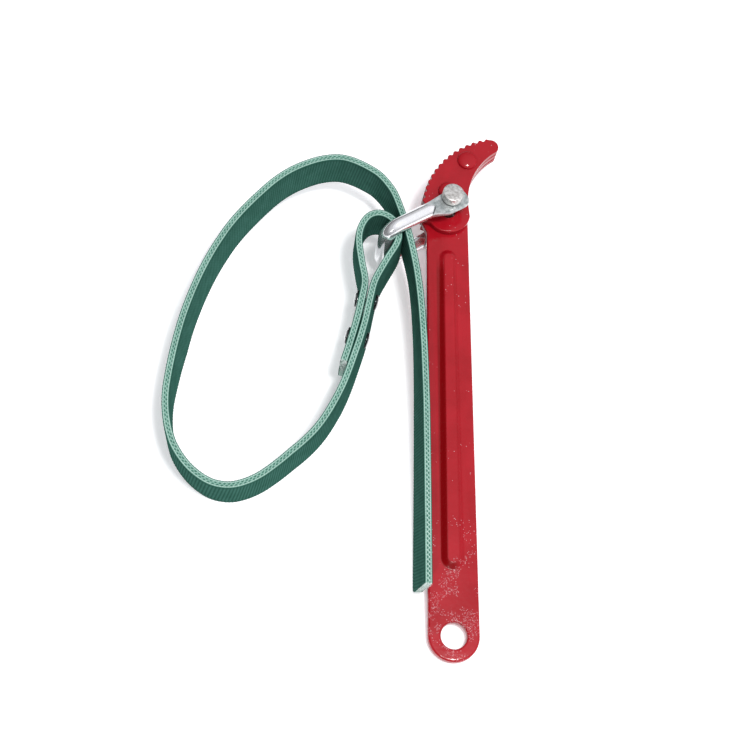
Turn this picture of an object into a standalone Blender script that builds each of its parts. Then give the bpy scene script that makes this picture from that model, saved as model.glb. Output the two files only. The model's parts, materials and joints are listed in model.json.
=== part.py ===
"""A belt-type oil filter wrench, lying on its side with its belt standing on edge.

Sizes are in metres and +Z is up. The handle points along -Y and the jaw along +Y. The shackle
swings on the vertical pivot pin, and the belt's riveted end loop turns on the shackle's crossbar.
The head stands on the pin's lower end and the handle slopes down until its tail touches the ground.
"""

import math

import bmesh
import bpy
from mathutils import Vector

GAP = 0.0003  # clearance between neighbouring pieces
PIVOT = Vector((0.0610, 0.1011, 0.0239))  # middle of the jaw on the pivot pin's axis

# Handle: one forged bar whose upper end is the middle layer of the jaw.
HANDLE_SLOPE = math.radians(4.89)
HANDLE_THICKNESS = 0.005
HANDLE_HALF_WIDTH = 0.0117
HANDLE_TOP_Y = -0.012
TAIL_RADIUS = 0.0132
TAIL_Y = -0.238
HANGING_HOLE_RADIUS = 0.0067
RIB_TOP_Y = -0.0276
RIB_TOP_RADIUS = 0.0049
RIB_TAIL_Y = -0.198
RIB_TAIL_RADIUS = 0.0060
RIB_HEIGHT = 0.0021
RIB_EDGE = 0.0015
GROOVE_INSET = 0.0012

# Jaw outline, shared by the handle's end and by the two cheeks.
TOOTH_CENTRE = Vector((0.0349, -0.0002))
TOOTH_RADIUS = 0.0497
TOOTH_DEPTH = 0.0012
TOOTH_COUNT = 17
TOOTH_FIRST = 104
TOOTH_LAST = 187
CONCAVE_CENTRE = Vector((0.0515, 0.0075))
CONCAVE_RADIUS = 0.040
TIP_CENTRE = Vector((0.0253, 0.0432))
TIP_RADIUS = 0.0045
BOSS_CENTRE = Vector((0, -0.0006))
BOSS_RADIUS = 0.0124
CHEEK_THICKNESS = 0.0036
CHEEK_Z = HANDLE_THICKNESS / 2 + GAP + CHEEK_THICKNESS / 2
JAW_HALF_THICKNESS = CHEEK_Z + CHEEK_THICKNESS / 2
JAW_RIVETS = {"jaw_rivet_tip": Vector((0.0113, 0.0330)), "jaw_rivet_heel": Vector((0.0001, 0.0123))}
JAW_RIVET_SHANK = 0.0026
JAW_RIVET_HEAD = 0.0056
JAW_RIVET_DOME = 0.0022

# Shackle: a bent round rod whose ends are flattened into ears.
SHACKLE_HEADING = math.radians(212)
SHACKLE_REACH = 0.0422
LEG_Z = 0.017
ROD_RADIUS = 0.00425
BEND_RADIUS = 0.008
EAR_THICKNESS = 0.0036
EAR_OUTLINE = (
    (0.0155, -0.0048), (0.0090, -0.0052), (0.0020, -0.0054), (-0.0040, -0.0050), (-0.0084, -0.0018),
    (-0.0086, 0.0044), (-0.0060, 0.0070), (0.0010, 0.0077), (0.0080, 0.0075), (0.0125, 0.0056),
    (0.0160, 0.0026),
)

# Pivot pin: headed above the front ear and formed over a washer below the back ear.
PIN_RADIUS = 0.0032
PIN_HEAD_RADIUS = 0.0057
PIN_HEAD_HEIGHT = 0.005
PIN_HEAD_PLAY = 0.0008
PIN_TAIL_RADIUS = 0.0048
PIN_TAIL_HEIGHT = 0.003
JAW_BORE_RADIUS = 0.0041  # loose on the pin, so that the handle can slope
EAR_BORE_RADIUS = PIN_RADIUS + GAP
WASHER_RADIUS = 0.0062
WASHER_THICKNESS = 0.0015

# Belt: one strip of constant section. Its route lies in the belt's own plane, measured from the
# crossbar's axis, from the free end round the big loop to the cut end of the riveted loop.
BELT_WIDTH = 0.0225
BELT_THICKNESS = 0.0042
BELT_TILT = (math.radians(3.88), math.radians(-1.775), 0)
BELT_ROUTE = (
    (0.0199, -0.1930), (0.0201, -0.1660), (0.0203, -0.1230), (0.0202, -0.0850), (0.0193, -0.0497),
    (0.0170, -0.0210), (0.0129, 0.0015), (0.0078, 0.0195), (0.0030, 0.0310), (-0.0065, 0.0415),
    (-0.0255, 0.0490), (-0.0474, 0.0428), (-0.0655, 0.0290), (-0.0895, -0.0018),
    (-0.1065, -0.0452), (-0.1137, -0.0900), (-0.1118, -0.1123), (-0.1035, -0.1310),
    (-0.0905, -0.1428), (-0.0770, -0.1450), (-0.0602, -0.1375), (-0.0367, -0.1154),
    (-0.0235, -0.0910), (-0.0150, -0.0660), (-0.0109, -0.0508), (-0.0081, -0.0365),
    (-0.0056, -0.0262), (0.0008, -0.0130), (0.0070, -0.0010), (0.0066, 0.0072), (0.0030, 0.0126),
    (-0.0030, 0.0152), (-0.0090, 0.0132), (-0.0132, 0.0066), (-0.0146, -0.0020),
    (-0.0131, -0.0150), (-0.0113, -0.0264), (-0.0127, -0.0362), (-0.0155, -0.0498),
    (-0.0195, -0.0648), (-0.0222, -0.0740),
)
ROUTE_STEPS = 3  # points added for each point of the route

# Belt rivets: place in the belt's plane and heading of the axis from the domed head outwards.
BELT_RIVETS = {
    "near": (Vector((-0.0098, -0.0335)), math.radians(-12)),
    "far": (Vector((-0.0147, -0.0560)), math.radians(-15)),
}
LAP_HALF_THICKNESS = BELT_THICKNESS + GAP
BELT_RIVET_SHANK = 0.0018
BELT_RIVET_HEAD = 0.0044
BELT_RIVET_DOME = 0.0018
BELT_RIVET_TAIL = 0.0030
BELT_WASHER_RADIUS = 0.0046
BELT_WASHER_THICKNESS = 0.0008

TURNED_STEPS = 28
CUTTER_STEPS = 28
FLAT_STEPS = 12
TOOTH_STEPS = 6


def clear_scene():
    for scene_object in list(bpy.data.objects):
        bpy.data.objects.remove(scene_object, do_unlink=True)


def make_collection(name):
    collection = bpy.data.collections.new(name)
    bpy.context.scene.collection.children.link(collection)
    return collection


def make_material(name, colour, roughness, metallic=0.0):
    material = bpy.data.materials.new(name)
    material.use_nodes = True
    shader = material.node_tree.nodes["Principled BSDF"]
    shader.inputs["Base Color"].default_value = (*colour, 1)
    shader.inputs["Roughness"].default_value = roughness
    shader.inputs["Metallic"].default_value = metallic
    return material


def make_frame(name, collection, location, rotation=(0, 0, 0)):
    """An empty that carries the pieces of one moving group."""
    frame = bpy.data.objects.new(name, None)
    frame.location = location
    frame.rotation_euler = rotation
    frame.empty_display_size = 0.01
    collection.objects.link(frame)
    return frame


def add_piece(name, mesh, frame, collection, material):
    piece = bpy.data.objects.new(name, mesh)
    piece.parent = frame
    piece.data.materials.append(material)
    collection.objects.link(piece)
    return piece


def arc(centre, radius, first, last, steps):
    """Points on an arc between two angles in degrees, ends included."""
    points = []
    for step in range(steps + 1):
        angle = math.radians(first + (last - first) * step / steps)
        points.append(centre + radius * Vector((math.cos(angle), math.sin(angle))))
    return points


def through(points, steps, closed=False):
    """A smooth curve through points, with the given number of steps between each pair."""
    route = [Vector(point) for point in points]
    if closed:
        route = [route[-1], *route, route[0], route[1]]
    else:
        route = [2 * route[0] - route[1], *route, 2 * route[-1] - route[-2]]
    curve = []
    for before, start, end, after in zip(route, route[1:], route[2:], route[3:]):
        chord = (end - start).length
        leaving = (end - before) * chord / (chord + (start - before).length)
        arriving = (after - start) * chord / (chord + (after - end).length)
        for step in range(steps):
            t = step / steps
            curve.append(
                (2 * t**3 - 3 * t**2 + 1) * start
                + (t**3 - 2 * t**2 + t) * leaving
                + (3 * t**2 - 2 * t**3) * end
                + (t**3 - t**2) * arriving
            )
    return curve if closed else [*curve, route[-2]]


def toothed_edge():
    """The jaw's gripping edge, from its tip down to the boss, with rounded teeth."""
    steps = TOOTH_COUNT * TOOTH_STEPS
    points = []
    for step in range(steps + 1):
        angle = math.radians(TOOTH_FIRST + (TOOTH_LAST - TOOTH_FIRST) * step / steps)
        wave = 0.5 - 0.5 * math.cos(2 * math.pi * step / TOOTH_STEPS)
        radius = TOOTH_RADIUS - TOOTH_DEPTH * wave
        points.append(TOOTH_CENTRE + radius * Vector((math.cos(angle), math.sin(angle))))
    return points


def jaw_edges():
    """The concave edge, the rounded tip and the toothed edge, anticlockwise."""
    concave = arc(CONCAVE_CENTRE, CONCAVE_RADIUS, 186, 126, FLAT_STEPS)
    tip = arc(TIP_CENTRE, TIP_RADIUS, -38, 100, FLAT_STEPS // 2)
    return [*concave, *tip, *toothed_edge()]


def flat_piece(points, thickness, edge=0.0):
    """A filled outline with straight sides, or with sides rounded by the radius edge."""
    outline = bpy.data.curves.new("outline", "CURVE")
    outline.dimensions = "2D"
    outline.fill_mode = "BOTH"
    outline.extrude = thickness / 2 - edge
    outline.bevel_depth = edge
    outline.bevel_resolution = 1
    outline.offset = -edge
    spline = outline.splines.new("POLY")
    spline.points.add(len(points) - 1)
    for place, point in zip(spline.points, points):
        place.co = (point.x, point.y, 0, 1)
    spline.use_cyclic_u = True
    return curve_to_mesh(outline)


def curve_to_mesh(curve):
    holder = bpy.data.objects.new("holder", curve)
    bpy.context.scene.collection.objects.link(holder)
    bpy.context.view_layer.update()
    evaluated = holder.evaluated_get(bpy.context.evaluated_depsgraph_get())
    mesh = bpy.data.meshes.new_from_object(evaluated)
    bpy.data.objects.remove(holder, do_unlink=True)
    weld(mesh)
    return mesh


def weld(mesh):
    body = bmesh.new()
    body.from_mesh(mesh)
    bmesh.ops.remove_doubles(body, verts=body.verts, dist=1e-6)
    bmesh.ops.recalc_face_normals(body, faces=body.faces)
    body.to_mesh(mesh)
    body.free()


def turned_piece(name, profile, frame, collection, material):
    """A profile of (radius, height) points, top to bottom, turned about Z."""
    mesh = bpy.data.meshes.new(name)
    points = [(radius, 0, height) for radius, height in profile]
    edges = [(index, index + 1) for index in range(len(points) - 1)]
    mesh.from_pydata(points, edges, [])
    piece = add_piece(name, mesh, frame, collection, material)
    turn = piece.modifiers.new("turn", "SCREW")
    turn.steps = TURNED_STEPS
    turn.render_steps = TURNED_STEPS
    turn.use_merge_vertices = True
    turn.merge_threshold = 1e-5
    return piece


def dome(radius, height, base, steps=4):
    """Profile of a domed head whose rim stands a fifth of its height above its base."""
    rim = height / 5
    points = []
    for step in range(steps + 1):
        angle = math.pi / 2 * step / steps
        points.append((radius * math.sin(angle), base + rim + (height - rim) * math.cos(angle)))
    return [*points, (radius, base)]


def cut(piece, cutter):
    boolean = piece.modifiers.new(cutter.name, "BOOLEAN")
    boolean.object = cutter
    boolean.operation = "DIFFERENCE"


def join(piece, other):
    """Unites another body with a piece for good and removes it."""
    union = piece.modifiers.new("union", "BOOLEAN")
    union.object = other
    union.operation = "UNION"
    bpy.context.view_layer.update()
    evaluated = piece.evaluated_get(bpy.context.evaluated_depsgraph_get())
    mesh = bpy.data.meshes.new_from_object(evaluated)
    piece.modifiers.remove(union)
    piece.data = mesh
    bpy.data.objects.remove(other, do_unlink=True)


def make_cutter(name, mesh, frame, cutters):
    cutter = bpy.data.objects.new(name, mesh)
    cutter.parent = frame
    cutter.hide_render = True
    cutter.display_type = "WIRE"
    cutters.objects.link(cutter)
    return cutter


def drill(name, frame, cutters, centre, radius, depth):
    """A vertical cylinder that cuts a round hole."""
    mesh = bpy.data.meshes.new(name)
    body = bmesh.new()
    bmesh.ops.create_cone(
        body, cap_ends=True, segments=CUTTER_STEPS, radius1=radius, radius2=radius, depth=depth
    )
    body.to_mesh(mesh)
    body.free()
    drilled = make_cutter(name, mesh, frame, cutters)
    drilled.location = (centre[0], centre[1], 0)
    return drilled


def rib_outline(inset):
    """A long slot shape that widens towards the tail."""
    top = Vector((0, RIB_TOP_Y))
    tail = Vector((0, RIB_TAIL_Y))
    return [
        *arc(top, RIB_TOP_RADIUS - inset, 0, 180, FLAT_STEPS),
        *arc(tail, RIB_TAIL_RADIUS - inset, 180, 360, FLAT_STEPS),
    ]


def make_handle(frame, parts, cutters, material):
    heel = Vector((-HANDLE_HALF_WIDTH, HANDLE_TOP_Y))
    tail = arc(Vector((0, TAIL_Y)), TAIL_RADIUS, 180, 360, 2 * FLAT_STEPS)
    outline = [heel, *tail, *jaw_edges()]
    handle = add_piece(
        "handle_bar", flat_piece(outline, HANDLE_THICKNESS), frame, parts, material
    )
    rib = add_piece(
        "rib", flat_piece(rib_outline(0), 2 * RIB_HEIGHT, RIB_EDGE), frame, parts, material
    )
    rib.location.z = HANDLE_THICKNESS / 2
    join(handle, rib)
    groove_mesh = flat_piece(rib_outline(GROOVE_INSET), 2 * RIB_HEIGHT, RIB_EDGE)
    groove = make_cutter("groove_cutter", groove_mesh, frame, cutters)
    groove.location.z = -HANDLE_THICKNESS / 2
    cut(handle, groove)
    hole = drill(
        "hanging_hole_cutter", frame, cutters, (0, TAIL_Y), HANGING_HOLE_RADIUS, 2 * HANDLE_THICKNESS
    )
    cut(handle, hole)
    return handle


def make_cheeks(frame, parts, material):
    boss = arc(BOSS_CENTRE, BOSS_RADIUS, 215, 352, FLAT_STEPS)
    mesh = flat_piece([*boss, *jaw_edges()], CHEEK_THICKNESS)
    front = add_piece("jaw_cheek_front", mesh, frame, parts, material)
    front.location.z = CHEEK_Z
    back = add_piece("jaw_cheek_back", mesh.copy(), frame, parts, material)
    back.location.z = -CHEEK_Z
    return front, back


def drill_jaw(layers, frame, cutters):
    depth = 4 * JAW_HALF_THICKNESS
    holes = [drill("jaw_bore_cutter", frame, cutters, (0, 0), JAW_BORE_RADIUS, depth)]
    for name, centre in JAW_RIVETS.items():
        holes.append(drill(f"{name}_cutter", frame, cutters, centre, JAW_RIVET_SHANK + GAP, depth))
    for layer in layers:
        for hole in holes:
            cut(layer, hole)


def make_jaw_rivets(frame, parts, material):
    face = JAW_HALF_THICKNESS + GAP
    upper = dome(JAW_RIVET_HEAD, JAW_RIVET_DOME, face)
    lower = [(radius, -height) for radius, height in reversed(upper)]
    profile = [*upper, (JAW_RIVET_SHANK, face), (JAW_RIVET_SHANK, -face), *lower]
    for name, centre in JAW_RIVETS.items():
        rivet = turned_piece(name, profile, frame, parts, material)
        rivet.location = (centre.x, centre.y, 0)


def make_pin(frame, parts, material):
    ear_face = LEG_Z + EAR_THICKNESS / 2
    head = ear_face + PIN_HEAD_PLAY
    top = head + PIN_HEAD_HEIGHT
    washer_top = -ear_face - GAP
    washer_bottom = washer_top - WASHER_THICKNESS
    tail = washer_bottom - GAP
    round_off = PIN_HEAD_HEIGHT / 8
    profile = [
        (0, top), (PIN_HEAD_RADIUS - round_off, top), (PIN_HEAD_RADIUS, top - round_off),
        (PIN_HEAD_RADIUS, head), (PIN_RADIUS, head), (PIN_RADIUS, tail), (PIN_TAIL_RADIUS, tail),
        (PIN_TAIL_RADIUS, tail - PIN_TAIL_HEIGHT / 2),
        (PIN_TAIL_RADIUS - round_off, tail - PIN_TAIL_HEIGHT), (0, tail - PIN_TAIL_HEIGHT),
    ]
    turned_piece("pivot_pin", profile, frame, parts, material)
    ring = washer_profile(WASHER_RADIUS, EAR_BORE_RADIUS, washer_top, washer_bottom)
    turned_piece("pivot_washer", ring, frame, parts, material)


def washer_profile(outer, inner, top, bottom):
    return [(inner, top), (outer, top), (outer, bottom), (inner, bottom), (inner, top)]


def shackle_path():
    """Centre line of the bent rod, from the front ear round the crossbar to the back ear."""
    inner = SHACKLE_REACH - BEND_RADIUS
    bend = arc(Vector((inner, LEG_Z - BEND_RADIUS)), BEND_RADIUS, 90, 0, 6)
    leg = [Vector((0.009, LEG_Z)), Vector((0.0125, LEG_Z)), Vector((0.0165, LEG_Z))]
    half = [*leg, *bend]
    return [*half, *[Vector((point.x, -point.y)) for point in reversed(half)]]


def make_shackle(frame, parts, cutters, material):
    path = shackle_path()
    curve = bpy.data.curves.new("rod", "CURVE")
    curve.dimensions = "3D"
    curve.bevel_depth = ROD_RADIUS
    curve.bevel_resolution = 4
    curve.use_fill_caps = True
    spline = curve.splines.new("POLY")
    spline.points.add(len(path) - 1)
    for place, point in zip(spline.points, path):
        place.co = (point.x, 0, point.y, 1)
    for index, scale in enumerate((0.40, 0.75)):
        spline.points[index].radius = scale
        spline.points[-1 - index].radius = scale
    shackle = add_piece("shackle", curve_to_mesh(curve), frame, parts, material)
    outline = through(EAR_OUTLINE, 2, closed=True)
    for side in (1, -1):
        ear = add_piece("ear", flat_piece(outline, EAR_THICKNESS), frame, parts, material)
        ear.location.z = side * LEG_Z
        join(shackle, ear)
    bore = drill("ear_bore_cutter", frame, cutters, (0, 0), EAR_BORE_RADIUS, 4 * LEG_Z)
    cut(shackle, bore)


def belt_mesh():
    """An upright ribbon along the belt's route."""
    route = through(BELT_ROUTE, ROUTE_STEPS)
    ribbon = bmesh.new()
    for point in route:
        ribbon.verts.new((point.x, point.y, -BELT_WIDTH / 2))
    ribbon.verts.ensure_lookup_table()
    edges = [ribbon.edges.new(pair) for pair in zip(ribbon.verts[:-1], ribbon.verts[1:])]
    raised = bmesh.ops.extrude_edge_only(ribbon, edges=edges)["geom"]
    top = [item for item in raised if isinstance(item, bmesh.types.BMVert)]
    bmesh.ops.translate(ribbon, verts=top, vec=(0, 0, BELT_WIDTH))
    mesh = bpy.data.meshes.new("belt")
    ribbon.to_mesh(mesh)
    ribbon.free()
    return mesh


def make_belt(frame, parts, cutters, material):
    belt = add_piece("belt", belt_mesh(), frame, parts, material)
    solidify = belt.modifiers.new("thickness", "SOLIDIFY")
    solidify.thickness = BELT_THICKNESS
    solidify.offset = 0
    solidify.use_even_offset = True
    for name, (centre, heading) in BELT_RIVETS.items():
        depth = 4 * LAP_HALF_THICKNESS
        hole = drill(f"belt_{name}_cutter", frame, cutters, centre, BELT_RIVET_SHANK + GAP, depth)
        hole.rotation_euler = (0, math.pi / 2, heading)
        cut(belt, hole)


def make_belt_rivets(frame, parts, material):
    face = LAP_HALF_THICKNESS + GAP
    tail = face + BELT_WASHER_THICKNESS + GAP
    head = dome(BELT_RIVET_HEAD, BELT_RIVET_DOME, face)
    formed = dome(BELT_RIVET_TAIL, BELT_RIVET_DOME, tail)
    lower = [(radius, -height) for radius, height in reversed(formed)]
    profile = [*head, (BELT_RIVET_SHANK, face), (BELT_RIVET_SHANK, -tail), *lower]
    ring = washer_profile(
        BELT_WASHER_RADIUS, BELT_RIVET_SHANK + GAP, -face, -face - BELT_WASHER_THICKNESS
    )
    for name, (centre, heading) in BELT_RIVETS.items():
        rivet = turned_piece(f"belt_rivet_{name}", profile, frame, parts, material)
        washer = turned_piece(f"belt_washer_{name}", ring, frame, parts, material)
        for piece in (rivet, washer):
            piece.location = (centre.x, centre.y, 0)
            piece.rotation_euler = (0, math.pi / 2, heading)


def shade_round(parts):
    for piece in parts.objects:
        if piece.type == "MESH":
            piece.data.shade_smooth()
            piece.data.set_sharp_from_angle(angle=math.radians(35))


def main():
    clear_scene()
    parts = make_collection("oil_filter_wrench")
    cutters = make_collection("cutters")
    red_paint = make_material("red_paint", (0.44, 0.022, 0.032), 0.35)
    zinc = make_material("zinc_plate", (0.66, 0.68, 0.68), 0.30, 1.0)
    dark_steel = make_material("dark_steel", (0.10, 0.11, 0.11), 0.35, 1.0)
    green_belt = make_material("green_belt", (0.026, 0.082, 0.061), 0.65)

    reach = SHACKLE_REACH * Vector((math.cos(SHACKLE_HEADING), math.sin(SHACKLE_HEADING), 0))
    handle_frame = make_frame("handle_frame", parts, PIVOT, (HANDLE_SLOPE, 0, 0))
    pin_frame = make_frame("pin_frame", parts, PIVOT)
    shackle_frame = make_frame("shackle_frame", parts, PIVOT, (0, 0, SHACKLE_HEADING))
    belt_frame = make_frame("belt_frame", parts, PIVOT + reach, BELT_TILT)

    handle = make_handle(handle_frame, parts, cutters, red_paint)
    cheeks = make_cheeks(handle_frame, parts, red_paint)
    drill_jaw((handle, *cheeks), handle_frame, cutters)
    make_jaw_rivets(handle_frame, parts, red_paint)
    make_pin(pin_frame, parts, zinc)
    make_shackle(shackle_frame, parts, cutters, zinc)
    make_belt(belt_frame, parts, cutters, green_belt)
    make_belt_rivets(belt_frame, parts, dark_steel)
    shade_round(parts)


main()
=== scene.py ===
"""Looks for a belt-type oil filter wrench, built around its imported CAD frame.

Sizes are in metres in the frame's own axes: +Z up, +Y from the handle's tail to the jaw. The red
pieces are built in the sloping handle's frame, the shackle in its own and the belt in the belt's.
"""

import json
import math
import random

import bmesh
import bpy
import numpy as np
from mathutils import Euler, Matrix, Vector


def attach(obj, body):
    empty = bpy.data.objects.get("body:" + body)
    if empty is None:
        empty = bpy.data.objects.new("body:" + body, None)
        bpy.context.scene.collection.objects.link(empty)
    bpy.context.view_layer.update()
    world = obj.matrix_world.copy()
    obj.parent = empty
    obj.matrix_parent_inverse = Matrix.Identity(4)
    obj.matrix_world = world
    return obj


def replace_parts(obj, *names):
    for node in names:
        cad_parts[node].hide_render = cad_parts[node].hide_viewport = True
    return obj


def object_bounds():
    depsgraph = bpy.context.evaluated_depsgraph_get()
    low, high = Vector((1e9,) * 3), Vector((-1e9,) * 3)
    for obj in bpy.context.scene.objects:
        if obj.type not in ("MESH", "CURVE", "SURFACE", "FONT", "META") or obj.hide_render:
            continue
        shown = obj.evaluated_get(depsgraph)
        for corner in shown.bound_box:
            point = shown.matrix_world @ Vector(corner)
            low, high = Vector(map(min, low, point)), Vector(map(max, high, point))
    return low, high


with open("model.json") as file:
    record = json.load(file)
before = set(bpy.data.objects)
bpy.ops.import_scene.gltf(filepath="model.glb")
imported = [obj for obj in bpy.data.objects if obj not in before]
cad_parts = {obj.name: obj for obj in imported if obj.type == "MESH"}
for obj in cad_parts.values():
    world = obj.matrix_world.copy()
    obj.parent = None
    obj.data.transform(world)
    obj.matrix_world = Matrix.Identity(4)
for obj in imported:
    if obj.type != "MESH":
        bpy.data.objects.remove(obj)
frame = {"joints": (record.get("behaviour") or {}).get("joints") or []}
cad_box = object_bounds()

PIVOT = Vector(frame["joints"][0]["pos_m"])
CROSSBAR = Vector(frame["joints"][1]["pos_m"])

# Camera: where it stands, how it is turned in degrees, and its lens.
CAMERA_PLACE = (-0.0633, -0.3521, 0.7185)
CAMERA_TURN = (27.055, -6.292, -0.190)
CAMERA_LENS = 72.9
SENSOR_WIDTH = 36
NEAREST_SEEN = 0.01

# Stage: floor, lamps as (place, target, side, power), and the sky's brightness by direction.
FLOOR_HALF_SIZE = 40.0
LAMPS = {
    "key": ((0.23, -0.27, 1.36), (0, 0, 0), 0.24, 12.0),
    "flash": ((-0.20, -0.75, 0.63), (0, 0.05, 0), 0.04, 1.6),
}
SKY_COLOUR = (0.96, 0.965, 1.0, 1)
SKY_DIRECTION = (0.42, -0.10, 0.90)
SKY_LOWEST = 0.14
SKY_LEVELS = ((0.10, 0.16), (0.50, 0.60), (0.55, 0.20), (0.60, 0.66), (0.88, 1.0))

# Handle and jaw, in the handle's frame: the pivot is at (0, 0, 0).
HANDLE_SLOPE = math.radians(4.89)
HANDLE_THICKNESS = 0.005
HANDLE_HALF_WIDTH = 0.0117
HANDLE_TOP_Y = -0.012
HANDLE_EDGE = 0.0011
TAIL_RADIUS = 0.0132
TAIL_Y = -0.238
HANGING_HOLE_RADIUS = 0.0067
RIB_TOP = Vector((0, -0.0276))
RIB_TOP_RADIUS = 0.0052
RIB_TAIL = Vector((0, -0.198))
RIB_TAIL_RADIUS = 0.0063
RIB_HEIGHT = 0.0021
RIB_FLANK = 0.0034
RIB_ROOT = -0.001
GROOVE_DEPTH = 0.0015
GROOVE_INSET = 0.0008
TOOTH_CENTRE = Vector((0.0349, -0.0002))
TOOTH_RADIUS = 0.0497
TOOTH_DEPTH = 0.0012
TOOTH_COUNT = 17
TOOTH_FIRST = 104
TOOTH_LAST = 187
CONCAVE_CENTRE = Vector((0.0515, 0.0075))
CONCAVE_RADIUS = 0.040
TIP_CENTRE = Vector((0.0253, 0.0432))
TIP_RADIUS = 0.0045
BOSS_CENTRE = Vector((0, -0.0006))
BOSS_RADIUS = 0.0124
CHEEK_THICKNESS = 0.0036
CHEEK_Z = 0.0046
CHEEK_EDGE = 0.00055
JAW_FACE = CHEEK_Z + CHEEK_THICKNESS / 2
JAW_RIVETS = {"jaw_rivet_tip": Vector((0.0113, 0.0330)), "jaw_rivet_heel": Vector((0.0001, 0.0123))}
JAW_RIVET_RADIUS = 0.0056
JAW_RIVET_HEIGHT = 0.0024
JAW_RIVET_RIM = 0.0006
JAW_BORE_RADIUS = 0.0041

# Shackle and pin, about the pivot.
SHACKLE_HEADING = math.radians(212)
SHACKLE_REACH = 0.0422
LEG_Z = 0.017
ROD_RADIUS = 0.00425
BEND_RADIUS = 0.008
EAR_HALF_THICKNESS = 0.0018
EAR_END = -0.0086
EAR_UPPER = 0.0077
EAR_LOWER = 0.0054
EAR_NOSE = 0.0015
EAR_RISE = 0.0022
EAR_RISE_START = 0.006
EAR_RISE_LENGTH = 0.012
UPPER_START = 0.0165
LOWER_START = 0.0150
WIDENING_LENGTH = 0.0125
ROD_START = 0.0190
FORGED_LENGTH = 0.0085
STEP_TIP = 0.0112
STEP_MIDDLE = 0.0010
STEP_SLANT = 1.1
STEP_LENGTH = 0.0013
STEP_SWELL = 1.02
SHACKLE_SIDES = 56
EAR_STATION = 0.0002
ROD_STATION = 0.0012
BEND_STEPS = 16
PIN_RADIUS = 0.0032
PIN_HEAD_RADIUS = 0.0057
PIN_HEAD = (0.0196, 0.0246)
PIN_TAIL_RADIUS = 0.0048
PIN_TAIL = (-0.0239, -0.0209)
PIN_TOP_ROUND = 0.0006
PIN_SEAT_ROUND = 0.0003
PIN_SHOULDER_ROUND = 0.0004
PIN_END_ROUND = 0.0009
PIN_CROWN = 0.00012
PIN_CROWN_EDGE = 0.00008
WASHER_RADIUS = 0.0062
WASHER_FACES = (-0.0206, -0.0191)
WASHER_ROUND = 0.0002
WASHER_PLAY = 0.0003

# Belt: its route in its own plane, from the free end to the cut end of the riveted loop.
BELT_TILT = (math.radians(3.88), math.radians(-1.775), 0)
BELT_WIDTH = 0.0225
BELT_HALF_THICKNESS = 0.0021
SKIN_THICKNESS = 0.0005
BELT_ROUTE = (
    (0.0199, -0.1930), (0.0201, -0.1660), (0.0203, -0.1230), (0.0202, -0.0850), (0.0193, -0.0497),
    (0.0170, -0.0210), (0.0129, 0.0015), (0.0078, 0.0195), (0.0030, 0.0310), (-0.0065, 0.0415),
    (-0.0255, 0.0490), (-0.0474, 0.0428), (-0.0655, 0.0290), (-0.0895, -0.0018),
    (-0.1065, -0.0452), (-0.1137, -0.0900), (-0.1118, -0.1123), (-0.1035, -0.1310),
    (-0.0905, -0.1428), (-0.0770, -0.1450), (-0.0602, -0.1375), (-0.0367, -0.1154),
    (-0.0235, -0.0910), (-0.0150, -0.0660), (-0.0109, -0.0508), (-0.0081, -0.0365),
    (-0.0056, -0.0262), (0.0008, -0.0130), (0.0070, -0.0010), (0.0066, 0.0072), (0.0030, 0.0126),
    (-0.0030, 0.0152), (-0.0090, 0.0132), (-0.0132, 0.0066), (-0.0146, -0.0020),
    (-0.0131, -0.0150), (-0.0113, -0.0264), (-0.0127, -0.0362), (-0.0155, -0.0498),
    (-0.0195, -0.0648), (-0.0222, -0.0740),
)
STATION_STEP = 0.00036
SMOOTHING = 0.004
# The belt's lean: share of its length, then how far its top and bottom edges shift inwards.
BELT_LEAN = (
    (0.00, -0.0010, 0.0028), (0.12, -0.0009, 0.0016), (0.22, -0.0003, 0.0), (0.34, -0.0005, 0.0008),
    (0.43, 0.0008, 0.0030), (0.51, 0.0001, 0.0030), (0.585, -0.0012, -0.0010), (0.63, 0.0004, 0.0002),
    (0.68, 0.0020, 0.0006), (0.73, 0.0006, -0.0014), (0.84, 0.0, -0.0016), (0.88, 0.0, 0.0),
    (1.00, 0.0, 0.0),
)
RIB_PITCH = 0.0017
RIB_SLANT = 0.15
RIB_RELIEF = 0.00013
FACING_COLUMNS = 11
FACING_INSET = 0.00015
FACING_EDGE = 0.00012
CORE_COLUMNS = 19
CORE_INSET = 0.0001
CORE_OVERLAP = 0.00004
STITCH_PITCH = 0.0024
STITCH_ROW = 0.00050
STITCH_SLANT = 0.25
STITCH_HALF_WIDTH = 0.00024
STITCH_HALF_LENGTH = 0.00056
STITCH_RELIEF = 0.0004
RAIL_INSET = 0.00045
RAIL_HALF_WIDTH = 0.00019
RAIL_TWIST = 0.0013
WEAVE_RELIEF = 0.00005
WEAVE_PITCH = 0.0008
WEAVE_SLANT = 0.0011
YARN_RELIEF = 0.00025
END_ROUND = 0.003
YARN_COUNT = 150
YARN_SPREAD = 0.0017
YARN_SET_BACK = 0.0003
YARN_LENGTHS = (0.0006, 0.0019)
YARN_RADII = (0.00006, 0.00013)
YARN_STEPS = 3
YARN_SIDES = 5
BELT_RIVETS = {
    "near": (Vector((-0.0098, -0.0335)), math.radians(-12)),
    "far": (Vector((-0.0147, -0.0560)), math.radians(-15)),
}
RIVET_FACE = 0.0048
RIVET_CAP_RADIUS = 0.0044
RIVET_CAP_HEIGHT = 0.0020
RIVET_CAP_RIM = 0.0007
RIVET_SHANK = 0.0018
FORMED_RADIUS = 0.0030
FORMED_HEIGHT = 0.0010
FORMED_RIM = 0.0004
BURR_RADIUS = 0.0046
BURR_THICKNESS = 0.0009
BURR_ROUND = 0.0003
BURR_DISH = 0.0002

TURN_STEPS = 72
WELD = 1e-7
PLATE_WELD = 1e-6


# ---------------------------------------------------------------- geometry helpers

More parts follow.
